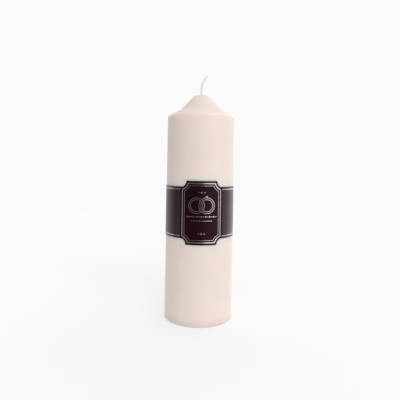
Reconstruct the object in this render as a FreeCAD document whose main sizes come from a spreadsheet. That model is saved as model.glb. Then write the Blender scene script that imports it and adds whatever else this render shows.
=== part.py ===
# Unity candle: a moulded wax pillar with a bell-shaped top, a braided cotton wick crimped in a steel
# sustainer, and a removable paper wrap with a die-cut plaque on its front.
#
# Frame: millimetres, +Z up, origin on the pillar's axis, in the base plane that the candle stands on.
# The plaque faces -Y, the seam of the wrap faces +Y, and the wick's tip bends towards +X.

import FreeCAD, Part
import Sketcher
import math
import os

# Driving dimensions: alias, value in millimetres or degrees, and what it measures.
DIMENSIONS = (
    ("pillar_height", 250.0, "base plane to the top of the wax"),
    ("base_radius", 38.5, "wax radius in the base plane"),
    ("shoulder_height", 225.2, "height of the corner where the wall meets the bell's skirt"),
    ("shoulder_radius", 36.5, "radius of that corner; the mould's draft makes it less than the base"),
    ("bell_radius", 22.9, "radius of the ring where the bell's skirt meets its steeper flank"),
    ("flank_angle", 46.0, "slope of the flank below level"),
    ("tip_radius", 14.5, "round of the bell's tip"),
    ("bell_blend", 10.5, "hollow round between flank and skirt"),
    ("shoulder_blend", 3.2, "round of the shoulder"),
    ("base_blend", 1.2, "round of the base edge"),
    ("wick_radius", 1.15, "braided cotton wick"),
    ("wick_clearance", 0.2, "room round the wick and the sustainer in the wax"),
    ("wick_bend_height", 254.0, "height where the wick starts to bend"),
    ("wick_bend_radius", 23.5, "radius of the bend, on the wick's centre line"),
    ("wick_bend_angle", 42.5, "slope of the wick's tip from the vertical"),
    ("sustainer_radius", 10.0, "steel disc under the wick"),
    ("sustainer_gauge", 0.3, "thickness of the steel"),
    ("sustainer_lift", 0.5, "base plane to the underside of the disc"),
    ("neck_height", 6.0, "neck crimped round the wick, from the disc's underside"),
    ("neck_blend", 0.8, "round where the disc turns into the neck"),
    ("band_bottom", 95.2, "height of the wrap's lower edge"),
    ("band_height", 54.6, "width of the wrap's paper strip"),
    ("sleeve_gap", 0.15, "air between wax and wrap"),
    ("paper_gauge", 0.3, "thickness of the coated paper"),
    ("overlap_width", 14.0, "length by which the strip's ends overlap"),
    ("ramp_width", 6.0, "length over which the outer end climbs onto the inner end"),
    ("end_gap", 0.5, "gap between the inner end and the top of that climb"),
    ("tape_gauge", 0.1, "thickness of the tape and of the adhesive pad"),
    ("tape_margin", 1.5, "tape and pad end this far inside the paper's edges"),
    ("plaque_width", 46.4, "width of the plaque, along the curve"),
    ("plaque_height", 66.9, "height of the plaque"),
    ("card_gauge", 0.35, "thickness of the plaque's card"),
    ("notch_radius", 6.8, "radius of the plaque's concave corners"),
)

# Sketcher's own numbers for a sketch's two axes and its origin.
HORIZONTAL_AXIS = -1
VERTICAL_AXIS = -2
SKETCH_ORIGIN = (-1, 1)

doc = FreeCAD.newDocument("unity_candle")
sheet = doc.addObject("Spreadsheet::Sheet", "Size")


def fill_sheet():
    """Puts each driving dimension in a row of the sheet, under its alias."""
    for row, (alias, number, note) in enumerate(DIMENSIONS, start=1):
        sheet.set(f"A{row}", alias)
        sheet.set(f"B{row}", str(number))
        sheet.set(f"C{row}", note)
        sheet.setAlias(f"B{row}", alias)
    doc.recompute()


# --- expressions on the sheet -----------------------------------------------------------------------------


def value(expression):
    """The number that an expression gives now, for a sketch's first placing of its points."""
    found = sheet.evalExpression(expression)
    return float(getattr(found, "Value", found))


def wall_radius(height):
    """The wax wall's radius at a height."""
    taper = "(Size.base_radius - Size.shoulder_radius) / Size.shoulder_height"
    return f"(Size.base_radius - ({height}) * {taper})"


def sleeve_radius(height, layers="0"):
    """A radius parallel to the wax wall, outside the sleeve gap and the given thickness of layers."""
    return f"({wall_radius(height)} + Size.sleeve_gap + {layers})"


def arc_degrees(length):
    """The angle that a length along the curve takes up at mid height of the wrap."""
    return f"({length} / {sleeve_radius(BAND_MIDDLE)} * 180 / pi)"


BAND_TOP = "(Size.band_bottom + Size.band_height)"
BAND_MIDDLE = "(Size.band_bottom + Size.band_height / 2)"
OVER_PAPER = "Size.paper_gauge"
OVER_TAPE = "(Size.paper_gauge + Size.tape_gauge)"


# --- bodies, sketches and features ------------------------------------------------------------------------


def new_body(label):
    body = doc.addObject("PartDesign::Body", label)
    body.Label = label
    return body


def turn_body(body, degrees):
    """Turns a whole sub-part about the candle's axis."""
    body.Placement = FreeCAD.Placement(FreeCAD.Vector(), FreeCAD.Rotation(FreeCAD.Vector(0, 0, 1), degrees))


def new_sketch(body, name, role):
    """A sketch on one of its own body's origin planes."""
    sketch = body.newObject("Sketcher::SketchObject", name)
    plane = next(item for item in body.Origin.OriginFeatures if item.Role == role)
    sketch.AttachmentSupport = [(plane, "")]
    sketch.MapMode = "FlatFace"
    return sketch


def pin(sketch, edge, end, corner):
    """Holds one end of an edge at a corner, a pair of expressions, where "0" means on the axis."""
    across, up = corner
    for kind, axis, place in (("DistanceX", VERTICAL_AXIS, across), ("DistanceY", HORIZONTAL_AXIS, up)):
        if place == "0":
            sketch.addConstraint(Sketcher.Constraint("PointOnObject", edge, end, axis))
        else:
            rule = Sketcher.Constraint(kind, *SKETCH_ORIGIN, edge, end, value(place))
            number = sketch.addConstraint(rule)
            sketch.setExpression(f"Constraints[{number}]", place)


def point_at(corner):
    return FreeCAD.Vector(value(corner[0]), value(corner[1]), 0)


def arc_between(start, finish, centre, clockwise):
    """An arc of a circle, which the sketcher always keeps anticlockwise."""
    first, last = (finish, start) if clockwise else (start, finish)
    reach = first - centre
    first_angle = math.atan2(reach.y, reach.x)
    last_angle = math.atan2(last.y - centre.y, last.x - centre.x)
    while last_angle <= first_angle:
        last_angle += 2 * math.pi
    circle = Part.Circle(centre, FreeCAD.Vector(0, 0, 1), reach.Length)
    return Part.ArcOfCircle(circle, first_angle, last_angle)


def draw_path(sketch, corners, arcs=None, closed=True):
    """Edges from corner to corner, straight unless arcs has an entry for the corner where one starts.

    An entry holds the arc's centre, its radius and whether it runs clockwise.
    """
    arcs = arcs or {}
    count = len(corners) if closed else len(corners) - 1
    ends = []
    for i in range(count):
        start, finish = point_at(corners[i]), point_at(corners[(i + 1) % len(corners)])
        if i in arcs:
            centre, radius, clockwise = arcs[i]
            edge = sketch.addGeometry(arc_between(start, finish, point_at(centre), clockwise))
            number = sketch.addConstraint(Sketcher.Constraint("Radius", edge, value(radius)))
            sketch.setExpression(f"Constraints[{number}]", radius)
            ends.append((2, 1) if clockwise else (1, 2))
        else:
            edge = sketch.addGeometry(Part.LineSegment(start, finish))
            ends.append((1, 2))
        pin(sketch, edge, ends[i][0], corners[i])
        if i > 0:
            sketch.addConstraint(Sketcher.Constraint("Coincident", i - 1, ends[i - 1][1], edge, ends[i][0]))
    if closed:
        sketch.addConstraint(Sketcher.Constraint("Coincident", count - 1, ends[-1][1], 0, ends[0][0]))
    else:
        pin(sketch, count - 1, ends[-1][1], corners[-1])
    doc.recompute()


def draw_circle(sketch, centre, radius):
    edge = sketch.addGeometry(Part.Circle(point_at(centre), FreeCAD.Vector(0, 0, 1), value(radius)))
    pin(sketch, edge, 3, centre)
    number = sketch.addConstraint(Sketcher.Constraint("Radius", edge, value(radius)))
    sketch.setExpression(f"Constraints[{number}]", radius)


def spin(body, kind, name, sketch, degrees="360"):
    """A Revolution or a Groove about the sketch's upright axis, centred on the sketch's plane."""
    feature = body.newObject(f"PartDesign::{kind}", name)
    feature.Profile = (sketch, [""])
    feature.ReferenceAxis = (sketch, ["V_Axis"])
    feature.Midplane = True
    feature.setExpression("Angle", degrees)
    doc.recompute()
    return feature


def round_ring(body, name, base, radius, height, size):
    """Rounds the circular edge of the given radius at the given height."""
    rings = []
    for number, edge in enumerate(base.Shape.Edges, start=1):
        box = edge.BoundBox
        level = box.ZLength < 1e-6 and abs(box.ZMin - value(height)) < 1e-4
        if level and abs(box.XLength / 2 - value(radius)) < 1e-4:
            rings.append(f"Edge{number}")
    fillet = body.newObject("PartDesign::Fillet", name)
    fillet.Base = (base, rings)
    fillet.setExpression("Radius", size)
    doc.recompute()
    return fillet


# --- wax --------------------------------------------------------------------------------------------------


def flank_height(radius):
    """Height of the flank's line, which touches the tip's round, at a radius."""
    rise = f"(Size.tip_radius - {radius} * sin(Size.flank_angle)) / cos(Size.flank_angle)"
    return f"(Size.pillar_height - Size.tip_radius + {rise})"


def make_wax_pillar():
    body = new_body("wax_pillar")
    profile = new_sketch(body, "pillar_profile", "XZ_Plane")
    flank_top = "(Size.tip_radius * sin(Size.flank_angle))"
    corners = [
        ("0", "0"),
        ("Size.base_radius", "0"),
        ("Size.shoulder_radius", "Size.shoulder_height"),
        ("Size.bell_radius", flank_height("Size.bell_radius")),
        (flank_top, flank_height(flank_top)),
        ("0", "Size.pillar_height"),
    ]
    tip_centre = ("0", "Size.pillar_height - Size.tip_radius")
    draw_path(profile, corners, {4: (tip_centre, "Size.tip_radius", False)})
    solid = spin(body, "Revolution", "moulded_wax", profile)
    rings = (
        ("bell_round", "Size.bell_radius", flank_height("Size.bell_radius"), "Size.bell_blend"),
        ("shoulder_round", "Size.shoulder_radius", "Size.shoulder_height", "Size.shoulder_blend"),
        ("base_round", "Size.base_radius", "0", "Size.base_blend"),
    )
    for name, radius, height, size in rings:
        solid = round_ring(body, name, solid, radius, height, size)
    cut_wick_way(body, solid)
    return body


def cut_wick_way(body, solid):
    """The way for the wick, right through, with the well that the sustainer is pressed into."""
    way = new_sketch(body, "wick_way_profile", "XZ_Plane")
    well = "(Size.sustainer_radius + Size.wick_clearance)"
    seat = "(Size.sustainer_lift + Size.sustainer_gauge)"
    neck = "(Size.wick_radius + Size.sustainer_gauge + Size.wick_clearance)"
    neck_seat = "(Size.neck_blend + Size.wick_radius + Size.sustainer_gauge + Size.wick_clearance)"
    neck_foot = f"({seat} + Size.neck_blend)"
    neck_top = "(Size.sustainer_lift + Size.neck_height + Size.wick_clearance)"
    bore = "(Size.wick_radius + Size.wick_clearance)"
    corners = [
        ("0", "0"),
        (well, "0"),
        (well, seat),
        (neck_seat, seat),
        (neck, neck_foot),
        (neck, neck_top),
        (bore, neck_top),
        (bore, "Size.pillar_height"),
        ("0", "Size.pillar_height"),
    ]
    draw_path(way, corners)
    before = solid.Shape.Volume
    groove = spin(body, "Groove", "wick_way", way)
    if groove.Shape.Volume >= before:
        raise RuntimeError("the wick way cut nothing")


# --- wick and sustainer -----------------------------------------------------------------------------------


def make_wick():
    """The wick stands straight from the sustainer's underside and bends in one arc above the wax."""
    body = new_body("wick")
    section = new_sketch(body, "wick_section", "XY_Plane")
    section.setExpression("AttachmentOffset.Base.z", "Size.sustainer_lift")
    draw_circle(section, ("0", "0"), "Size.wick_radius")
    line = new_sketch(body, "wick_line", "XZ_Plane")
    tip = (
        "Size.wick_bend_radius * (1 - cos(Size.wick_bend_angle))",
        "Size.wick_bend_height + Size.wick_bend_radius * sin(Size.wick_bend_angle)",
    )
    corners = [("0", "Size.sustainer_lift"), ("0", "Size.wick_bend_height"), tip]
    bend_centre = ("Size.wick_bend_radius", "Size.wick_bend_height")
    draw_path(line, corners, {1: (bend_centre, "Size.wick_bend_radius", True)}, closed=False)
    pipe = body.newObject("PartDesign::AdditivePipe", "braid")
    pipe.Profile = (section, [""])
    pipe.Spine = (line, ["Edge1", "Edge2"])
    doc.recompute()
    return body


def make_wick_sustainer():
    body = new_body("wick_sustainer")
    profile = new_sketch(body, "sustainer_profile", "XZ_Plane")
    disc_top = "(Size.sustainer_lift + Size.sustainer_gauge)"
    neck_outside = "(Size.wick_radius + Size.sustainer_gauge)"
    neck_top = "(Size.sustainer_lift + Size.neck_height)"
    corners = [
        ("Size.wick_radius", "Size.sustainer_lift"),
        ("Size.sustainer_radius", "Size.sustainer_lift"),
        ("Size.sustainer_radius", disc_top),
        (neck_outside, disc_top),
        (neck_outside, neck_top),
        ("Size.wick_radius", neck_top),
    ]
    draw_path(profile, corners)
    pressed = spin(body, "Revolution", "stamped_sheet", profile)
    round_ring(body, "neck_round", pressed, neck_outside, disc_top, "Size.neck_blend")
    return body


# --- wrap -------------------------------------------------------------------------------------------------


def polar(radius, degrees):
    return (f"{radius} * cos({degrees})", f"{radius} * sin({degrees})")


def draw_strip(body, name, height):
    """The strip's outline at a height: once round, then up over its own inner end."""
    sketch = new_sketch(body, name, "XY_Plane")
    sketch.setExpression("AttachmentOffset.Base.z", height)
    half_overlap = arc_degrees("Size.overlap_width / 2")
    climb_top = f"(-{half_overlap} - {arc_degrees('Size.end_gap')})"
    climb_foot = f"({climb_top} - {arc_degrees('Size.ramp_width')})"
    inner_end = f"(-{half_overlap})"
    inside = sleeve_radius(height)
    outside = sleeve_radius(height, OVER_PAPER)
    flap_inside = sleeve_radius(height, OVER_TAPE)
    flap_outside = sleeve_radius(height, f"{OVER_TAPE} + Size.paper_gauge")
    corners = [
        polar(inside, inner_end),
        polar(inside, climb_foot),
        polar(flap_inside, climb_top),
        polar(flap_inside, half_overlap),
        polar(flap_outside, half_overlap),
        polar(flap_outside, climb_top),
        polar(outside, climb_foot),
        polar(outside, inner_end),
    ]
    axis = ("0", "0")
    arcs = {
        0: (axis, inside, False),
        2: (axis, flap_inside, False),
        4: (axis, flap_outside, True),
        6: (axis, outside, True),
    }
    draw_path(sketch, corners, arcs)
    return sketch


def make_label_band():
    body = new_body("label_band")
    bottom = draw_strip(body, "strip_bottom", "Size.band_bottom")
    top = draw_strip(body, "strip_top", BAND_TOP)
    loft = body.newObject("PartDesign::AdditiveLoft", "paper_strip")
    loft.Profile = (bottom, [""])
    loft.Sections = [(top, [""])]
    loft.Ruled = True
    doc.recompute()
    turn_body(body, 90)
    return body


def make_layer(label, low, high, layers, gauge, width, facing):
    """A layer parallel to the wall, between two heights, centred on the direction that it faces."""
    body = new_body(label)
    profile = new_sketch(body, f"{label}_profile", "XZ_Plane")
    corners = [
        (sleeve_radius(low, layers), low),
        (sleeve_radius(low, f"{layers} + {gauge}"), low),
        (sleeve_radius(high, f"{layers} + {gauge}"), high),
        (sleeve_radius(high, layers), high),
    ]
    draw_path(profile, corners)
    spin(body, "Revolution", f"{label}_sheet", profile, arc_degrees(width))
    turn_body(body, facing)
    return body


def make_band_seam_tape():
    low = "(Size.band_bottom + Size.tape_margin)"
    high = f"({BAND_TOP} - Size.tape_margin)"
    width = "(Size.overlap_width - 2 * Size.tape_margin)"
    return make_layer("band_seam_tape", low, high, OVER_PAPER, "Size.tape_gauge", width, 90)


def make_plaque_adhesive():
    low = "(Size.band_bottom + Size.tape_margin)"
    high = f"({BAND_TOP} - Size.tape_margin)"
    width = "(Size.plaque_width - 2 * Size.tape_margin)"
    return make_layer("plaque_adhesive", low, high, OVER_PAPER, "Size.tape_gauge", width, -90)


def make_label_plaque():
    low = f"({BAND_MIDDLE} - Size.plaque_height / 2)"
    high = f"({BAND_MIDDLE} + Size.plaque_height / 2)"
    body = make_layer("label_plaque", low, high, OVER_TAPE, "Size.card_gauge", "Size.plaque_width", -90)
    before = body.Tip.Shape.Volume
    notches = new_sketch(body, "notch_circles", "YZ_Plane")
    half_turn = arc_degrees("Size.plaque_width / 2")
    turned = FreeCAD.Rotation(FreeCAD.Vector(0, 1, 0), value(half_turn))
    notches.AttachmentOffset = FreeCAD.Placement(FreeCAD.Vector(), turned)
    notches.setExpression("AttachmentOffset.Rotation.Angle", half_turn)
    for height in (low, high):
        draw_circle(notches, ("0", height), "Size.notch_radius")
    pocket = body.newObject("PartDesign::Pocket", "right_notches")
    pocket.Profile = (notches, [""])
    pocket.Type = "ThroughAll"
    pocket.Midplane = True
    doc.recompute()
    mirrored = body.newObject("PartDesign::Mirrored", "left_notches")
    mirrored.Originals = [pocket]
    mirrored.MirrorPlane = (next(i for i in body.Origin.OriginFeatures if i.Role == "XZ_Plane"), [""])
    body.Tip = mirrored
    doc.recompute()
    cut = before - body.Shape.Volume
    expected = math.pi * value("Size.notch_radius^2 * Size.card_gauge")
    print(f"notches cut {cut:.2f} mm3 of about {expected:.2f}")
    return body


# --- whole candle -----------------------------------------------------------------------------------------


def check_document(bodies):
    doc.recompute()
    for item in doc.Objects:
        if "Invalid" in item.State or "Error" in item.State:
            raise RuntimeError(f"{item.Name} is {item.State}")
    for body in bodies:
        if body.Shape.isNull() or not body.Shape.isValid():
            raise RuntimeError(f"{body.Label} has no valid shape")


def main():
    fill_sheet()
    bodies = [
        make_wax_pillar(),
        make_wick(),
        make_wick_sustainer(),
        make_label_band(),
        make_band_seam_tape(),
        make_plaque_adhesive(),
        make_label_plaque(),
    ]
    check_document(bodies)
    os.makedirs("parts", exist_ok=True)
    for body in bodies:
        body.Shape.exportStep(f"parts/{body.Label}.step")
        box = body.Shape.BoundBox
        print(f"{body.Label}: {len(body.Shape.Solids)} solid, {body.Shape.Volume:.1f} mm3, "
              f"z {box.ZMin:.2f} to {box.ZMax:.2f}, x {box.XMin:.2f} to {box.XMax:.2f}, "
              f"y {box.YMin:.2f} to {box.YMax:.2f}")


main()
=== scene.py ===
import math

import bpy
from mathutils import Matrix, Vector, noise


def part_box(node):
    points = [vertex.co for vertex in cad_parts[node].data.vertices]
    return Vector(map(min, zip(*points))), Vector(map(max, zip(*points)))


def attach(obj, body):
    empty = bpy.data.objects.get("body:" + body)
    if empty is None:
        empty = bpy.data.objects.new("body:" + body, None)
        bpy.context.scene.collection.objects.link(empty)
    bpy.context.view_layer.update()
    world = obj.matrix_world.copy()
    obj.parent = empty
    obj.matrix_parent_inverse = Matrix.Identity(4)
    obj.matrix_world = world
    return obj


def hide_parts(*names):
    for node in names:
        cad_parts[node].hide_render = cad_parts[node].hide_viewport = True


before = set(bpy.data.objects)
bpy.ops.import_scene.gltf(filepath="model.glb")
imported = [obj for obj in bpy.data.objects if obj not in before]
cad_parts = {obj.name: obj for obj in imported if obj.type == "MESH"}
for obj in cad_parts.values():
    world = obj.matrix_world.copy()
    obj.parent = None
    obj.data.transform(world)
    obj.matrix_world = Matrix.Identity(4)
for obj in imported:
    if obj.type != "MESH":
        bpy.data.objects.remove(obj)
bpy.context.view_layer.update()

MM = 0.001

# --- sizes, all in metres ----------------------------------------------------------------------------------

BAND_LOW, BAND_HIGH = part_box("label_band")
PLAQUE_LOW, PLAQUE_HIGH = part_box("label_plaque")
SUSTAINER_LOW, SUSTAINER_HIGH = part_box("wick_sustainer")

# The pillar's outline, the same as the CAD's.
BASE_RADIUS = 38.5 * MM
PILLAR_HEIGHT = 250.0 * MM
SHOULDER_HEIGHT = 225.2 * MM
SHOULDER_RADIUS = 36.5 * MM
BELL_RADIUS = 22.9 * MM
FLANK_ANGLE = math.radians(46)
TIP_RADIUS = 14.5 * MM
BELL_BLEND = 10.5 * MM
SHOULDER_BLEND = 3.2 * MM
BASE_BLEND = 1.2 * MM

# The wick and what holds it.
WICK_BEND_HEIGHT = 254.0 * MM
WICK_BEND_RADIUS = 23.5 * MM
WICK_BEND_ANGLE = math.radians(42.5)
SOAKED_RADIUS = 0.3 * MM
NECK_WAY_RADIUS = 1.65 * MM
WELL_RADIUS = 10.2 * MM
WELL_GAP = 0.3 * MM

# The wrap, in layers outwards from the wax.
SLEEVE_GAP = 0.15 * MM
PAPER_GAUGE = 0.3 * MM
TAPE_GAUGE = 0.1 * MM
CARD_GAUGE = 0.35 * MM
FOIL_GAUGE = 0.03 * MM
FOIL_SINK = 0.02 * MM

# The strip's two ends, at the back.
OVERLAP_WIDTH = 14.0 * MM
RAMP_WIDTH = 6.0 * MM
END_GAP = 0.5 * MM

BAND_MIDDLE = (BAND_LOW.z + BAND_HIGH.z) / 2
PLAQUE_HALF_WIDTH = 23.2 * MM
PLAQUE_HALF_HEIGHT = (PLAQUE_HIGH.z - PLAQUE_LOW.z) / 2
NOTCH_RADIUS = 6.8 * MM

# Foil lines: how far each lies in from the edge of its paper, and its width.
BAND_LINE_INSET = 2.6 * MM
BAND_LINE_WIDTH = 1.1 * MM
FRAME_LINES = ((2.0 * MM, 1.1 * MM), (4.8 * MM, 0.42 * MM))

# The pair of rings on the plaque; heights are from its middle.
RING_UP = 8.0 * MM
RING_RADII = (8.2 * MM, 6.3 * MM)
RING_APART = 5.2 * MM
RING_LINE = 0.5 * MM


def wall_radius(height):
    """The wax wall's radius at a height."""
    return BASE_RADIUS - height * (BASE_RADIUS - SHOULDER_RADIUS) / SHOULDER_HEIGHT


def on_wall(angle, height, lift):
    """A point at a height, lifted off the wax wall. Angle 0 faces the front, -Y, and grows towards +X."""
    reach = wall_radius(height) + lift
    return Vector((reach * math.sin(angle), -reach * math.cos(angle), height))


MIDDLE_RADIUS = wall_radius(BAND_MIDDLE) + SLEEVE_GAP
PLAQUE_BACK = SLEEVE_GAP + PAPER_GAUGE + TAPE_GAUGE
PLAQUE_FACE = PLAQUE_BACK + CARD_GAUGE


def on_front(across, up, lift):
    """A point given by its distance along the curve and its height from the middle of the plaque."""
    return on_wall(across / MIDDLE_RADIUS, BAND_MIDDLE + up, lift)


def smooth_step(share):
    """Eases a share from 0 to 1, and holds it there."""
    share = min(1.0, max(0.0, share))
    return share * share * (3 - 2 * share)


# --- mesh building -----------------------------------------------------------------------------------------


def make_mesh(name, vertices, faces, materials, face_slots=None, smooth=True):
    """A new object from vertices and faces; face_slots gives each face its material."""
    mesh = bpy.data.meshes.new(name)
    mesh.from_pydata([tuple(v) for v in vertices], [], faces)
    for material in materials:
        mesh.materials.append(material)
    if face_slots is not None:
        mesh.polygons.foreach_set("material_index", face_slots)
    mesh.polygons.foreach_set("use_smooth", [smooth] * len(mesh.polygons))
    mesh.validate()
    mesh.update()
    piece = bpy.data.objects.new(name, mesh)
    bpy.context.scene.collection.objects.link(piece)
    return piece


def join_meshes(parts):
    """One list of vertices and faces from several."""
    vertices, faces = [], []
    for part_vertices, part_faces in parts:
        start = len(vertices)
        vertices += part_vertices
        faces += [tuple(i + start for i in face) for face in part_faces]
    return vertices, faces


def ring_of_sections(sections):
    """A closed ring of quads through cross-sections, which all have the same number of points."""
    vertices = [point for section in sections for point in section]
    count = len(sections[0])
    faces = []
    for j in range(len(sections)):
        here = j * count
        there = ((j + 1) % len(sections)) * count
        for i in range(count):
            k = (i + 1) % count
            faces.append((here + i, there + i, there + k, here + k))
    return vertices, faces


def revolve(profile, segments, place):
    """A closed profile turned about the axis; place turns (radius, height, angle) into a point."""
    turns = [2 * math.pi * j / segments for j in range(segments)]
    return ring_of_sections([[place(r, z, turn) for r, z in profile] for turn in turns])


def slab(columns, rows, front, back):
    """A closed sheet from two grids of points; front and back turn (u, v) from 0 to 1 into points."""
    def at(side, i, j):
        return (side * (columns + 1) + i) * (rows + 1) + j

    vertices = []
    for surface in (front, back):
        for i in range(columns + 1):
            vertices += [surface(i / columns, j / rows) for j in range(rows + 1)]
    faces = []
    for i in range(columns):
        for j in range(rows):
            faces.append((at(0, i, j), at(0, i + 1, j), at(0, i + 1, j + 1), at(0, i, j + 1)))
            faces.append((at(1, i, j), at(1, i, j + 1), at(1, i + 1, j + 1), at(1, i + 1, j)))
    for i in range(columns):
        faces.append((at(0, i, 0), at(1, i, 0), at(1, i + 1, 0), at(0, i + 1, 0)))
        faces.append((at(0, i, rows), at(0, i + 1, rows), at(1, i + 1, rows), at(1, i, rows)))
    for j in range(rows):
        faces.append((at(0, 0, j), at(0, 0, j + 1), at(1, 0, j + 1), at(1, 0, j)))
        faces.append((at(0, columns, j), at(1, columns, j), at(1, columns, j + 1), at(0, columns, j + 1)))
    return vertices, faces


def make_sheet(name, columns, rows, front, back, materials, rim):
    """A slab with a softened rim: the first material on its two faces, the second on its cut edges."""
    vertices, faces = slab(columns, rows, front, back)
    printed = 2 * columns * rows
    slots = [0] * printed + [1] * (len(faces) - printed)
    return soften_rim(make_mesh(name, vertices, faces, materials, slots), rim)


def soften_rim(piece, width):
    """Rounds the sharp edges of a piece by a small width."""
    bevel = piece.modifiers.new("rim", "BEVEL")
    bevel.width = width
    bevel.segments = 2
    bevel.limit_method = "ANGLE"
    bevel.angle_limit = math.radians(50)
    bevel.harden_normals = True
    return apply_modifiers(piece)


def apply_modifiers(piece):
    """Keeps what the modifiers make as the piece's own mesh."""
    bpy.context.view_layer.update()
    evaluated = piece.evaluated_get(bpy.context.evaluated_depsgraph_get())
    finished = bpy.data.meshes.new_from_object(evaluated)
    piece.modifiers.clear()
    piece.data = finished
    return piece


def stamp_flat(piece):
    """Shades foil as a flat film, smooth along its length and sharp at its edges, on the wrap."""
    piece.data.set_sharp_from_angle(angle=math.radians(40))
    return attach(piece, "label_sleeve")


# --- materials ---------------------------------------------------------------------------------------------


class Surface:
    """A node material: a Principled shader with helpers that chain textures to its sockets."""

    def __init__(self, name):
        self.material = bpy.data.materials.new(name)
        self.material.use_nodes = True
        self.tree = self.material.node_tree
        self.shader = self.tree.nodes["Principled BSDF"]
        self.place = self.tree.nodes.new("ShaderNodeTexCoord").outputs["Object"]

    def node(self, kind, **settings):
        """A new node; each setting is one of its properties or input sockets."""
        made = self.tree.nodes.new(f"ShaderNode{kind}")
        for key, value in settings.items():
            if hasattr(made, key):
                setattr(made, key, value)
            else:
                made.inputs[key].default_value = value
        return made

    def link(self, source, target):
        self.tree.links.new(source, target)

    def set(self, **sockets):
        """Sets the shader's own sockets; an underscore stands for a space in a socket's name."""
        for key, value in sockets.items():
            self.shader.inputs[key.replace("_", " ")].default_value = value

    def stretched(self, scale):
        """Object coordinates with a scale of their own along each axis."""
        mapping = self.node("Mapping", Scale=scale)
        self.link(self.place, mapping.inputs["Vector"])
        return mapping.outputs["Vector"]

    def height(self):
        """The height above the base plane."""
        parts = self.node("SeparateXYZ")
        self.link(self.place, parts.inputs["Vector"])
        return parts.outputs["Z"]

    def noise(self, scale, detail=3.0, roughness=0.5, place=None):
        """Fine clouds; a scale of 1000 makes them about a millimetre across."""
        texture = self.node("TexNoise", Scale=scale, Detail=detail, Roughness=roughness)
        self.link(place or self.place, texture.inputs["Vector"])
        return texture.outputs["Fac"]

    def ramp(self, source, between, to=(0.0, 1.0)):
        """Stretches a range of values to another range, and holds its ends."""
        found = self.node("MapRange")
        names = ("From Min", "From Max", "To Min", "To Max")
        for name, value in zip(names, (*between, *to)):
            found.inputs[name].default_value = value
        self.link(source, found.inputs["Value"])
        return found.outputs["Result"]

    def mix(self, share, first, second):
        """From the first colour to the second by a share; each is a colour or a socket."""
        # The Mix node has several sockets of the same name, so its colour sockets go by number.
        factor, lower, upper, result = 0, 6, 7, 2
        mix = self.node("Mix", data_type="RGBA")
        self.link(share, mix.inputs[factor])
        for socket, colour in ((lower, first), (upper, second)):
            if isinstance(colour, tuple):
                mix.inputs[socket].default_value = (*colour, 1)
            else:
                self.link(colour, mix.inputs[socket])
        return mix.outputs[result]

    def colour(self, source):
        """Takes the shader's base colour from a socket."""
        self.link(source, self.shader.inputs["Base Color"])

    def roughness(self, source):
        """Takes the shader's roughness from a socket."""
        self.link(source, self.shader.inputs["Roughness"])

    def bump(self, *layers):
        """Layers of (height source, strength, distance), the finest last."""
        normal = None
        for source, strength, distance in layers:
            bump = self.node("Bump", Strength=strength, Distance=distance)
            self.link(source, bump.inputs["Height"])
            if normal is not None:
                self.link(normal, bump.inputs["Normal"])
            normal = bump.outputs["Normal"]
        self.link(normal, self.shader.inputs["Normal"])


def wax_material():
    """Ivory wax: soft mottling, pale specks, painted shade darkening the base, and light that soaks in."""
    deep_ivory = (0.745, 0.658, 0.602)
    pale_ivory = (0.763, 0.678, 0.620)
    speck = (0.80, 0.73, 0.68)
    # Painted shade: a darker wax colour, used over the bottom 9 mm, darkest at the bottom edge.
    painted_base_shade = (0.50, 0.42, 0.37)
    painted_shade_height = 9 * MM
    wax = Surface("ivory wax")
    mottle = wax.ramp(wax.noise(45.0, detail=4.0), between=(0.35, 0.65))
    specks = wax.ramp(wax.noise(1400.0, detail=2.0), between=(0.64, 0.72), to=(0.0, 0.35))
    # Painted shade at the base: the share of the darker colour, full at the bottom and fading out by 9 mm
    # up.
    base_shade_share = wax.ramp(wax.height(), between=(0.0, painted_shade_height), to=(0.45, 0.0))
    clean = wax.mix(specks, wax.mix(mottle, deep_ivory, pale_ivory), speck)
    wax.colour(wax.mix(base_shade_share, clean, painted_base_shade))
    wax.roughness(wax.ramp(wax.noise(120.0, detail=5.0), between=(0.3, 0.7), to=(0.36, 0.5)))
    wax.bump(
        (wax.noise(60.0, detail=3.0), 0.25, 0.4 * MM),
        (wax.noise(900.0, detail=3.0), 0.10, 0.08 * MM),
    )
    wax.set(
        Subsurface_Weight=0.85,
        Subsurface_Radius=(1.0, 0.5, 0.28),
        Subsurface_Scale=15 * MM,
        Subsurface_Anisotropy=0.0,
        IOR=1.44,
    )
    return wax.material


def cotton_material():
    """Bleached cotton strands: fine fibres along the wick, and a soft sheen."""
    shadow = (0.71, 0.71, 0.71)
    bleached = (0.85, 0.85, 0.86)
    cotton = Surface("braided cotton")
    fibres = cotton.noise(2600.0, detail=4.0, place=cotton.stretched((1.0, 1.0, 0.18)))
    cotton.colour(cotton.mix(cotton.ramp(fibres, between=(0.3, 0.7)), shadow, bleached))
    cotton.roughness(cotton.ramp(fibres, between=(0.2, 0.8), to=(0.7, 0.9)))
    cotton.bump((fibres, 0.5, 0.06 * MM))
    cotton.set(Sheen_Weight=0.35, Sheen_Roughness=0.5)
    return cotton.material


def printed_paper(name, dark, light, roughness, gloss):
    """Dark coated stock: faint fibre clouding under a satin varnish that reflects a little pink."""
    varnish = (1.0, 0.62, 0.74, 1)
    paper = Surface(name)
    cloud = paper.noise(260.0, detail=5.0, roughness=0.6)
    paper.colour(paper.mix(paper.ramp(cloud, between=(0.3, 0.7)), dark, light))
    paper.roughness(paper.ramp(paper.noise(90.0, detail=4.0), between=(0.3, 0.7), to=roughness))
    paper.bump(
        (paper.noise(35.0, detail=2.0), 0.06, 0.2 * MM),
        (paper.noise(2200.0, detail=3.0), 0.05, 0.03 * MM),
    )
    paper.set(Specular_IOR_Level=gloss, Specular_Tint=varnish)
    return paper.material


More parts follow.
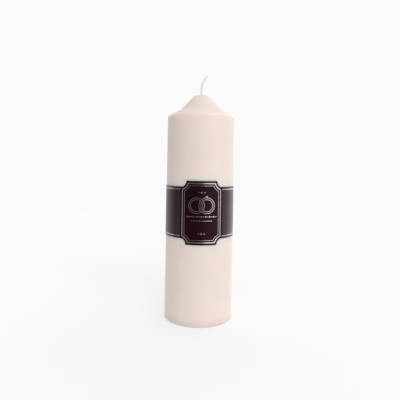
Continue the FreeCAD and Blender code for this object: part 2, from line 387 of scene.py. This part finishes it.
def band_paper_material():
    """The strip's stock: very dark brown, with a clear varnish."""
    return printed_paper(
        "band paper",
        dark=(0.023, 0.014, 0.017),
        light=(0.028, 0.018, 0.021),
        roughness=(0.24, 0.32),
        gloss=0.6,
    )


def plaque_card_material():
    """The plaque's stock: darker, redder and duller than the strip's."""
    return printed_paper(
        "plaque card",
        dark=(0.009, 0.0012, 0.002),
        light=(0.013, 0.0018, 0.003),
        roughness=(0.32, 0.42),
        gloss=0.18,
    )


def paper_core_material():
    """The cut edge of the stock, where its undyed core shows."""
    dyed = (0.06, 0.04, 0.04)
    undyed = (0.16, 0.12, 0.11)
    core = Surface("cut paper edge")
    fibres = core.noise(3500.0, detail=4.0)
    core.colour(core.mix(core.ramp(fibres, between=(0.3, 0.7)), dyed, undyed))
    core.roughness(core.ramp(fibres, between=(0.2, 0.8), to=(0.75, 0.95)))
    core.bump((fibres, 0.4, 0.04 * MM))
    return core.material


def foil_material():
    """Hot-stamped silver: bright, faintly grained by the stock under it, and worn in places."""
    bright = (0.62, 0.53, 0.56)
    worn = (0.50, 0.42, 0.45)
    foil = Surface("silver foil")
    wear = foil.ramp(foil.noise(160.0, detail=5.0, roughness=0.6), between=(0.5, 0.75))
    foil.colour(foil.mix(wear, bright, worn))
    foil.roughness(foil.ramp(foil.noise(700.0, detail=4.0), between=(0.3, 0.7), to=(0.24, 0.34)))
    foil.bump((foil.noise(1500.0, detail=3.0), 0.06, 0.03 * MM))
    foil.set(Metallic=1.0)
    return foil.material


def tinned_steel_material():
    """Bright tinned sheet with a fine grain and a little tarnish."""
    tin = (0.66, 0.66, 0.65)
    tarnished = (0.46, 0.44, 0.41)
    steel = Surface("tinned steel")
    grain = steel.noise(1200.0, detail=4.0, place=steel.stretched((1.0, 1.0, 6.0)))
    tarnish = steel.ramp(steel.noise(240.0, detail=4.0), between=(0.5, 0.75))
    steel.colour(steel.mix(tarnish, tin, tarnished))
    steel.roughness(steel.ramp(grain, between=(0.3, 0.7), to=(0.25, 0.45)))
    steel.bump((grain, 0.3, 0.04 * MM))
    steel.set(Metallic=1.0)
    return steel.material


def tape_material():
    """Film with a milky adhesive."""
    yellowed = (0.66, 0.61, 0.50)
    milky = (0.80, 0.76, 0.66)
    tape = Surface("double-sided tape")
    milk = tape.noise(800.0, detail=4.0)
    tape.colour(tape.mix(tape.ramp(milk, between=(0.3, 0.7)), yellowed, milky))
    tape.roughness(tape.ramp(milk, between=(0.3, 0.7), to=(0.3, 0.5)))
    tape.bump((milk, 0.2, 0.03 * MM))
    return tape.material


# --- wax ---------------------------------------------------------------------------------------------------


def bend_points(corner, before, after, radius, steps):
    """The round of a corner between two straight stretches, as points in (radius, height)."""
    first = (before - corner).normalized()
    second = (after - corner).normalized()
    half = first.angle(second) / 2
    centre = corner + (first + second).normalized() * radius / math.sin(half)
    start = corner + first * radius / math.tan(half) - centre
    finish = corner + second * radius / math.tan(half) - centre
    turn = start.angle(finish)
    points = []
    for i in range(steps + 1):
        share = i / steps
        spoke = (math.sin((1 - share) * turn) * start + math.sin(share * turn) * finish) / math.sin(turn)
        points.append(centre + spoke)
    return points


def subdivided(points, step):
    """The same open line with points no further apart than a step."""
    line = []
    for a, b in zip(points, points[1:]):
        count = max(1, math.ceil((b - a).length / step))
        line += [a.lerp(b, i / count) for i in range(count)]
    return line + [points[-1]]


def on_tip(angle):
    """A point in (radius, height) on the rounded tip, at an angle from its top."""
    return Vector((TIP_RADIUS * math.sin(angle), PILLAR_HEIGHT - TIP_RADIUS * (1 - math.cos(angle))))


def tip_points():
    """The rounded tip, and the small skirt of wax that climbs the wick."""
    climb_foot = 2.6 * MM
    climb_height = 1.0 * MM
    climb_curve = 2.2
    tip_steps = 8
    climb_steps = 6
    climb_angle = math.asin(climb_foot / TIP_RADIUS)
    points = []
    for i in range(tip_steps + 1):
        share = i / tip_steps
        points.append(on_tip(FLANK_ANGLE * (1 - share) + climb_angle * share))
    foot = points[-1]
    for i in range(1, climb_steps + 1):
        share = i / climb_steps
        radius = foot.x + (SOAKED_RADIUS - foot.x) * math.sin(share * math.pi / 2)
        points.append(Vector((radius, foot.y + climb_height * share ** climb_curve)))
    return points


def way_points():
    """Down to the sustainer's well: the wax soaks into the wick, so it reaches in to a thin core."""
    neck_top = SUSTAINER_HIGH.z + 0.2 * MM
    seat = SUSTAINER_LOW.z + WELL_GAP
    flare = 0.8 * MM
    points = [
        (SOAKED_RADIUS, neck_top),
        (NECK_WAY_RADIUS, neck_top),
        (NECK_WAY_RADIUS, seat + flare),
        (NECK_WAY_RADIUS + flare, seat),
        (WELL_RADIUS, seat),
        (WELL_RADIUS, WELL_GAP),
    ]
    return [Vector(point) for point in points]


def wax_profile():
    """Closed outline of the pillar's half section: base, wall, bell, skirt at the wick, and the wick way."""
    flank_start = on_tip(FLANK_ANGLE)
    bell_drop = (BELL_RADIUS - flank_start.x) * math.tan(FLANK_ANGLE)
    bell = Vector((BELL_RADIUS, flank_start.y - bell_drop))
    shoulder = Vector((SHOULDER_RADIUS, SHOULDER_HEIGHT))
    base = Vector((BASE_RADIUS, 0.0))
    axis = Vector((0.0, 0.0))
    longest_step = 2.0 * MM
    line = [Vector((WELL_RADIUS + WELL_GAP, 0.0))]
    line += bend_points(base, axis, shoulder, BASE_BLEND, steps=6)
    line += bend_points(shoulder, base, bell, SHOULDER_BLEND, steps=14)
    line += bend_points(bell, shoulder, flank_start, BELL_BLEND, steps=8)
    line += tip_points()
    return subdivided(line, longest_step) + way_points()


def make_wax():
    """The pillar as it leaves its mould: its wall waves inwards by up to a fifth of a millimetre."""
    segments = 224
    wave_depth = 0.09 * MM
    wave_scale = 28.0
    wave_foot = 6 * MM
    wave_reach = 10 * MM

    def place(radius, height, angle):
        side = Vector((math.sin(angle), -math.cos(angle), 0))
        spot = (side * radius + Vector((0, 0, height / 2))) * wave_scale
        share = smooth_step(height / wave_foot) * smooth_step((radius - WELL_RADIUS) / wave_reach)
        inward = wave_depth * share * (1 - noise.noise(spot))
        return side * (radius - inward) + Vector((0, 0, height))

    vertices, faces = revolve(wax_profile(), segments, place)
    piece = make_mesh("moulded_wax", vertices, faces, [wax_material()])
    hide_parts("wax_pillar")
    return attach(piece, "candle")


# --- wick --------------------------------------------------------------------------------------------------


def wick_point(along):
    """Centre line and the two directions across it, at a distance along the wick from its foot."""
    straight = WICK_BEND_HEIGHT - SUSTAINER_LOW.z
    turned = max(0.0, along - straight) / WICK_BEND_RADIUS
    aside = WICK_BEND_RADIUS * (1 - math.cos(turned))
    height = SUSTAINER_LOW.z + min(along, straight) + WICK_BEND_RADIUS * math.sin(turned)
    return Vector((aside, 0, height)), Vector((math.cos(turned), 0, -math.sin(turned))), Vector((0, 1, 0))


def tube(points, radii, sides):
    """A closed tube through points."""
    vertices, faces = [], []
    across = Vector((1, 0, 0))
    for i, point in enumerate(points):
        ahead = points[min(i + 1, len(points) - 1)] - points[max(i - 1, 0)]
        ahead.normalize()
        across = (across - ahead * across.dot(ahead)).normalized()
        third = ahead.cross(across)
        for k in range(sides):
            turn = 2 * math.pi * k / sides
            vertices.append(point + (across * math.cos(turn) + third * math.sin(turn)) * radii[i])
    for i in range(len(points) - 1):
        for k in range(sides):
            n = (k + 1) % sides
            faces.append((i * sides + k, i * sides + n, (i + 1) * sides + n, (i + 1) * sides + k))
    faces.append(tuple(reversed(range(sides))))
    faces.append(tuple(range((len(points) - 1) * sides, len(points) * sides)))
    return vertices, faces


STRANDS_EACH_WAY = 4


def strand(number, turn_way, length):
    """One cotton strand of the braid, over and under the strands that wind the other way."""
    pitch = 6.4 * MM
    weave_radius = 0.70 * MM
    weave_depth = 0.10 * MM
    strand_radius = 0.34 * MM
    strand_sides = 7
    fray_length = 1.6 * MM
    fray_spread = 0.08 * MM
    fray_thinning = 0.1
    longest_step = 0.42 * MM
    steps = math.ceil(length / longest_step)
    points, radii = [], []
    for i in range(steps + 1):
        along = length * i / steps
        centre, across, third = wick_point(along)
        angle = turn_way * 2 * math.pi * along / pitch + 2 * math.pi * number / STRANDS_EACH_WAY
        over = turn_way * weave_depth * math.cos(2 * math.pi * STRANDS_EACH_WAY * along / pitch)
        fray = max(0.0, 1 - (length - along) / fray_length)
        reach = weave_radius + over + fray_spread * fray ** 2
        points.append(centre + (across * math.cos(angle) + third * math.sin(angle)) * reach)
        radii.append(strand_radius * (1 - fray_thinning * fray))
    return tube(points, radii, strand_sides)


def make_wick():
    """A core inside a braid of strands, each cut off at a slightly different length."""
    core_radius = 0.55 * MM
    core_steps = 200
    core_sides = 8
    uneven_cut = 0.25 * MM
    length = WICK_BEND_HEIGHT - SUSTAINER_LOW.z + WICK_BEND_RADIUS * WICK_BEND_ANGLE
    core = [wick_point(length * i / core_steps)[0] for i in range(core_steps + 1)]
    parts = [tube(core, [core_radius] * len(core), core_sides)]
    for number in range(STRANDS_EACH_WAY):
        for turn_way in (-1, 1):
            spot = Vector((number * 3.1, turn_way * 1.7, 0.4))
            cut = uneven_cut * noise.noise(spot)
            parts.append(strand(number, turn_way, length + cut))
    vertices, faces = join_meshes(parts)
    piece = make_mesh("braided_wick", vertices, faces, [cotton_material()])
    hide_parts("wick")
    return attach(piece, "candle")


# --- wrap --------------------------------------------------------------------------------------------------

STRIP_COLUMNS = 420
STRIP_START = math.pi - OVERLAP_WIDTH / 2 / MIDDLE_RADIUS
STRIP_TURN = 2 * math.pi + OVERLAP_WIDTH / MIDDLE_RADIUS


def strip_lift(turned):
    """Height of the strip's inner face over the wax at an angle turned from its inner end."""
    climb_top = 2 * math.pi - END_GAP / MIDDLE_RADIUS
    climb_foot = climb_top - RAMP_WIDTH / MIDDLE_RADIUS
    climbed = smooth_step((turned - climb_foot) / (climb_top - climb_foot))
    return SLEEVE_GAP + climbed * (PAPER_GAUGE + TAPE_GAUGE)


def strip_point(share, height, lift):
    """A point on the paper strip; share runs from its inner end to its outer end."""
    turned = share * STRIP_TURN
    return on_wall(STRIP_START + turned, height, strip_lift(turned) + lift)


def make_band(paper, core):
    """The paper strip, wound once round the pillar, with its outer end lapped over its inner end."""
    rows = 16
    low, high = BAND_LOW.z, BAND_HIGH.z

    def face(lift):
        return lambda u, v: strip_point(u, low + (high - low) * v, lift)

    piece = make_sheet(
        "paper_band", STRIP_COLUMNS, rows, face(PAPER_GAUGE), face(0.0), [paper, core], rim=0.05 * MM
    )
    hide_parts("label_band")
    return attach(piece, "label_sleeve")


def make_band_foil(foil):
    """The two silver lines, stamped along the strip's outer face."""
    rows = 2
    parts = []
    for middle in (BAND_LOW.z + BAND_LINE_INSET, BAND_HIGH.z - BAND_LINE_INSET):

        def face(lift, middle=middle):
            return lambda u, v: strip_point(u, middle + BAND_LINE_WIDTH * (v - 0.5), PAPER_GAUGE + lift)

        parts.append(slab(STRIP_COLUMNS, rows, face(FOIL_GAUGE), face(-FOIL_SINK)))
    vertices, faces = join_meshes(parts)
    return stamp_flat(make_mesh("band_foil_lines", vertices, faces, [foil]))


# --- plaque ------------------------------------------------------------------------------------------------


def half_height(across):
    """Half the plaque's height at a distance from its middle."""
    reach = PLAQUE_HALF_WIDTH - abs(across)
    if reach >= NOTCH_RADIUS:
        return PLAQUE_HALF_HEIGHT
    return PLAQUE_HALF_HEIGHT - math.sqrt(NOTCH_RADIUS ** 2 - reach ** 2)


def plaque_columns():
    """Distances across the plaque, closer together where the notches curve."""
    middle_steps = 40
    notch_steps = 14
    notch_edge = PLAQUE_HALF_WIDTH - NOTCH_RADIUS
    middle = [notch_edge * (2 * i / middle_steps - 1) for i in range(middle_steps + 1)]
    turns = [math.pi / 2 * i / notch_steps for i in range(1, notch_steps + 1)]
    side = [PLAQUE_HALF_WIDTH - NOTCH_RADIUS * math.cos(turn) for turn in turns]
    side[-1] = PLAQUE_HALF_WIDTH
    return [-x for x in reversed(side)] + middle + side


def make_plaque(card, core):
    """The card, curved round the pillar, with a quarter-round notch at each corner."""
    rows = 40
    columns = plaque_columns()
    count = len(columns) - 1

    def face(lift):
        def point(u, v):
            across = columns[round(u * count)]
            return on_front(across, half_height(across) * (2 * v - 1), lift)
        return point

    piece = make_sheet(
        "notched_plaque", count, rows, face(PLAQUE_FACE), face(PLAQUE_BACK), [card, core], rim=0.06 * MM
    )
    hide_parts("label_plaque")
    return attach(piece, "label_sleeve")


def notched_outline(inset):
    """Points round the plaque's outline drawn in by an inset, starting at the lower left."""
    steps = 16
    notch = NOTCH_RADIUS + inset
    low = math.asin(inset / notch)
    corner = []
    for i in range(steps + 1):
        angle = low + (math.pi / 2 - 2 * low) * i / steps
        spoke = (notch * math.sin(angle), notch * math.cos(angle))
        corner.append((PLAQUE_HALF_WIDTH - spoke[0], PLAQUE_HALF_HEIGHT - spoke[1]))
    corner[0] = (PLAQUE_HALF_WIDTH - inset, corner[0][1])
    back = corner[::-1]
    loop = []
    for side_x, side_z, points in ((-1, -1, corner), (1, -1, back), (1, 1, corner), (-1, 1, back)):
        loop += [(side_x * x, side_z * z) for x, z in points]
    return loop


def foil_loop(inset, width):
    """A thin foil line that runs round the plaque, and follows its curve."""
    step = 1.2 * MM
    outer = [Vector(point) for point in notched_outline(inset)]
    inner = [Vector(point) for point in notched_outline(inset + width)]
    top = PLAQUE_FACE + FOIL_GAUGE
    foot = PLAQUE_FACE - FOIL_SINK
    sections = []
    for a, b, c, d in zip(outer, outer[1:] + outer[:1], inner, inner[1:] + inner[:1]):
        count = max(1, math.ceil((b - a).length / step))
        for i in range(count):
            near, far = a.lerp(b, i / count), c.lerp(d, i / count)
            corners = ((near, foot), (near, top), (far, top), (far, foot))
            sections.append([on_front(*spot, lift) for spot, lift in corners])
    return ring_of_sections(sections)


def make_plaque_foil(foil):
    """The double silver frame inside the plaque's edge."""
    parts = [foil_loop(inset, width) for inset, width in FRAME_LINES]
    vertices, faces = join_meshes(parts)
    return stamp_flat(make_mesh("plaque_foil_frame", vertices, faces, [foil]))


# --- ornament ----------------------------------------------------------------------------------------------


def ring_point(side, radius, angle):
    """A point on one ring of the pair, as a distance across the plaque and a height from its middle."""
    return side * RING_APART + radius * math.cos(angle), RING_UP + radius * math.sin(angle)


def ring_arcs(side):
    """The two outlines of one ring of the interlocked pair, broken where the other ring passes over it."""
    steps = 360
    half_line = RING_LINE / 2
    # Each outline starts where the other ring hides it, so that its two ends never show.
    start = math.radians(136) if side > 0 else math.radians(316)
    parts = []
    for radius in RING_RADII:
        run = []
        for i in range(steps + 1):
            angle = 2 * math.pi * i / steps + start
            x, z = ring_point(side, radius, angle)
            from_other = math.hypot(x + side * RING_APART, z - RING_UP)
            on_other = RING_RADII[1] - RING_LINE < from_other < RING_RADII[0] + RING_LINE
            if on_other and (z - RING_UP) * side > 0:
                parts += finished_arc(run)
                run = []
            else:
                edges = (radius + half_line, radius - half_line)
                run.append([ring_point(side, edge, angle) for edge in edges])
        parts += finished_arc(run)
    return parts


def finished_arc(run):
    """A thin foil line along one unbroken run of pairs of points; a run too short to show is dropped."""
    if len(run) < 3:
        return []
    count = len(run) - 1

    def face(lift):
        return lambda u, v: on_front(*run[round(u * count)][round(v)], PLAQUE_FACE + lift)

    return [slab(count, 1, face(FOIL_GAUGE), face(-FOIL_SINK))]


def gem(across, up, half_width, half_tall, sides=4):
    """A small raised lozenge, or a bead where it has more sides."""
    rims = []
    for lift in (FOIL_GAUGE, -FOIL_SINK):
        for k in range(sides):
            turn = 2 * math.pi * k / sides
            spot = (across + half_width * math.cos(turn), up + half_tall * math.sin(turn))
            rims.append(on_front(*spot, PLAQUE_FACE + lift))
    faces = [tuple(range(sides)), tuple(reversed(range(sides, 2 * sides)))]
    for k in range(sides):
        n = (k + 1) % sides
        faces.append((k, sides + k, sides + n, n))
    return rims, faces


def lozenge_row():
    """Under the rings: tall and low lozenges by turns."""
    pitch = 2.15 * MM
    up = -3.6 * MM
    half_width = 0.85 * MM
    tall, low = 0.95 * MM, 0.5 * MM
    each_side = 7
    places = range(-each_side, each_side + 1)
    return [gem(i * pitch, up, half_width, tall if i % 2 == 0 else low) for i in places]


def bead_row():
    """Under the lozenges: round beads."""
    pitch = 1.7 * MM
    up = -8.0 * MM
    radius = 0.5 * MM
    each_side = 6
    places = range(-each_side, each_side + 1)
    return [gem(i * pitch, up, radius, radius, sides=12) for i in places]


def ring_gem():
    """The stone on top of the right-hand ring."""
    above_ring = 0.9 * MM
    return [gem(RING_APART, RING_UP + RING_RADII[0] + above_ring, 1.3 * MM, 1.1 * MM)]


def sprig(up):
    """A lozenge between two leaves."""
    leaf_across = 3.0 * MM
    parts = [gem(0, up, 1.0 * MM, 1.3 * MM)]
    for side in (-1, 1):
        parts.append(gem(side * leaf_across, up, 1.6 * MM, 0.35 * MM))
    return parts


def make_ornament(foil):
    """Everything stamped inside the frame: rings, gem, two rows, and a sprig above and below them."""
    sprig_up = 21.5 * MM
    beads = lozenge_row() + bead_row() + ring_gem() + sprig(sprig_up) + sprig(-sprig_up)
    stamp_flat(make_mesh("plaque_foil_rings", *join_meshes(ring_arcs(1) + ring_arcs(-1)), [foil]))
    stamp_flat(make_mesh("plaque_foil_beads", *join_meshes(beads), [foil]))


# --- carried-over CAD nodes --------------------------------------------------------------------------------


def dress_node(node, material):
    """Gives a CAD node its material."""
    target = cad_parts[node]
    for slot in target.material_slots:
        slot.material = material


# --- stage -------------------------------------------------------------------------------------------------


def make_floor():
    """A pale, softly glowing table top that fades out into the backdrop."""
    solid_radius = 0.5
    end_radius = 1.1
    sides = 96
    turns = [2 * math.pi * k / sides for k in range(sides)]
    rim = [(end_radius * math.cos(turn), end_radius * math.sin(turn), 0) for turn in turns]
    paper = Surface("pale floor")
    grey, lighter_grey = (0.495, 0.495, 0.495), (0.505, 0.505, 0.505)
    paper.colour(paper.mix(paper.noise(3.0, detail=2.0), grey, lighter_grey))
    paper.set(Roughness=0.9, Specular_IOR_Level=0.1, Emission_Color=(1, 1, 1, 1), Emission_Strength=0.46)
    distance = paper.node("VectorMath", operation="LENGTH")
    paper.link(paper.place, distance.inputs[0])
    faded = paper.ramp(distance.outputs["Value"], between=(solid_radius, end_radius))
    clear = paper.node("BsdfTransparent")
    fade = paper.node("MixShader")
    paper.link(faded, fade.inputs["Fac"])
    paper.link(paper.shader.outputs["BSDF"], fade.inputs[1])
    paper.link(clear.outputs["BSDF"], fade.inputs[2])
    paper.link(fade.outputs["Shader"], paper.tree.nodes["Material Output"].inputs["Surface"])
    floor = make_mesh("floor", rim, [tuple(range(sides))], [paper.material], smooth=False)
    floor.visible_glossy = False


# Directions from the candle to the studio's lights.
BACK = (0, 1, 0)
FRONT = (0, -1, 0)
RIGHT = (1, 0, 0)
UP = (0, 0, 1)
DOWN = (0, 0, -1)
RIGHT_SOFTBOX = (0.643, -0.766, 0)
REAR_SOFTBOX = (0.94, 0.34, 0)
LEFT_SOFTBOX = (-0.866, -0.5, 0)

# Lobes of light: a direction, the cosines where the lobe starts and is full, and its level.
SIDE_LIGHT = (
    (BACK, 0, 1, 0.99),
    (FRONT, 0, 1, 0.71),
    (RIGHT, 0, 1, 0.555),
)
OVERHEAD_LIGHT = ((UP, 0, 1, 0.607),)
MIRRORED_LIGHT = (
    (BACK, 0.03, 0.5, 0.78),
    (FRONT, -1, 1, 0.07),
    (REAR_SOFTBOX, 0.5, 1, 0.56),
    (UP, 0.2, 0.8, 0.5),
    (RIGHT_SOFTBOX, 0.84, 0.94, 1.3),
    (LEFT_SOFTBOX, 0.9, 0.99, 0.22),
    (DOWN, 0.1, 0.24, 0.24),
)
SIDE_COLOUR = (1.10, 1.015, 0.915, 1)
OVERHEAD_COLOUR = (0.93, 0.96, 1.08, 1)
WHITE = (1, 1, 1, 1)
BACKDROP_LEVEL = 0.96


def sum_of_lobes(tree, lobes):
    """Brightness by direction, with all the lobes added up."""
    direction = tree.nodes.new("ShaderNodeTexCoord").outputs["Generated"]
    total = None
    for toward, start, full, level in lobes:
        facing = tree.nodes.new("ShaderNodeVectorMath")
        facing.operation = "DOT_PRODUCT"
        facing.inputs[1].default_value = toward
        lobe = tree.nodes.new("ShaderNodeMapRange")
        for name, value in (("From Min", start), ("From Max", full), ("To Max", level)):
            lobe.inputs[name].default_value = value
        tree.links.new(direction, facing.inputs[0])
        tree.links.new(facing.outputs["Value"], lobe.inputs["Value"])
        if total is None:
            total = lobe.outputs["Result"]
        else:
            added = tree.nodes.new("ShaderNodeMath")
            tree.links.new(total, added.inputs[0])
            tree.links.new(lobe.outputs["Result"], added.inputs[1])
            total = added.outputs[0]
    return total


def background(tree, colour, strength):
    """One background shader; its strength is a number or a socket."""
    node = tree.nodes.new("ShaderNodeBackground")
    node.inputs["Color"].default_value = colour
    if isinstance(strength, float):
        node.inputs["Strength"].default_value = strength
    else:
        tree.links.new(strength, node.inputs["Strength"])
    return node.outputs["Background"]


def added_shaders(tree, first, second):
    """Two shaders' light together."""
    both = tree.nodes.new("ShaderNodeAddShader")
    tree.links.new(first, both.inputs[0])
    tree.links.new(second, both.inputs[1])
    return both.outputs["Shader"]


def make_world():
    """A white studio: soft light all round, softboxes that gloss mirrors, and an even backdrop."""
    world = bpy.data.worlds.new("studio")
    world.use_nodes = True
    bpy.context.scene.world = world
    tree = world.node_tree
    tree.nodes.clear()
    path = tree.nodes.new("ShaderNodeLightPath")
    sides = background(tree, SIDE_COLOUR, sum_of_lobes(tree, SIDE_LIGHT))
    above = background(tree, OVERHEAD_COLOUR, sum_of_lobes(tree, OVERHEAD_LIGHT))
    gloss = background(tree, WHITE, sum_of_lobes(tree, MIRRORED_LIGHT))
    seen = background(tree, WHITE, BACKDROP_LEVEL)
    shown = added_shaders(tree, sides, above)
    for ray, shader in (("Is Glossy Ray", gloss), ("Is Camera Ray", seen)):
        mix = tree.nodes.new("ShaderNodeMixShader")
        tree.links.new(path.outputs[ray], mix.inputs["Fac"])
        tree.links.new(shown, mix.inputs[1])
        tree.links.new(shader, mix.inputs[2])
        shown = mix.outputs["Shader"]
    output = tree.nodes.new("ShaderNodeOutputWorld")
    tree.links.new(shown, output.inputs["Surface"])


def make_key_light():
    """One large soft light, right of the camera and a little above it."""
    aside, up = math.radians(20), math.radians(25)
    data = bpy.data.lights.new("key softbox", "SUN")
    data.energy = 0.90
    data.color = (0.87, 1.01, 1.10)
    data.angle = math.radians(50)
    light = bpy.data.objects.new("key softbox", data)
    toward = Vector((math.sin(aside) * math.cos(up), -math.cos(aside) * math.cos(up), math.sin(up)))
    light.rotation_euler = toward.to_track_quat("Z", "Y").to_euler()
    light.visible_glossy = False
    bpy.context.scene.collection.objects.link(light)


def make_camera():
    """At the photograph's place: close, above the wrap, a little left of the front, and rolled a degree."""
    swing = math.radians(-3.35)
    distance = 449.4 * MM
    aside = 0.37 * MM
    height = 171.0 * MM
    pitch = 0.08385
    roll = 0.0164
    frame_width = 36
    data = bpy.data.cameras.new("camera")
    data.lens = frame_width
    data.sensor_width = frame_width
    camera = bpy.data.objects.new("camera", data)
    upright = Matrix.Rotation(math.pi / 2 - pitch, 4, "X") @ Matrix.Rotation(roll, 4, "Z")
    camera.matrix_world = (
        Matrix.Rotation(swing, 4, "Z") @ Matrix.Translation((aside, -distance, height)) @ upright
    )
    bpy.context.scene.collection.objects.link(camera)
    bpy.context.scene.camera = camera


def main():
    """The candle's pieces from the inside out, and then the studio round them."""
    paper = band_paper_material()
    card = plaque_card_material()
    core = paper_core_material()
    foil = foil_material()
    tape = tape_material()
    make_wax()
    make_wick()
    make_band(paper, core)
    make_band_foil(foil)
    make_plaque(card, core)
    make_plaque_foil(foil)
    make_ornament(foil)
    dress_node("wick_sustainer", tinned_steel_material())
    dress_node("band_seam_tape", tape)
    dress_node("plaque_adhesive", tape)
    make_floor()
    make_world()
    make_key_light()
    make_camera()
    bpy.context.scene.view_settings.view_transform = "Standard"


main()
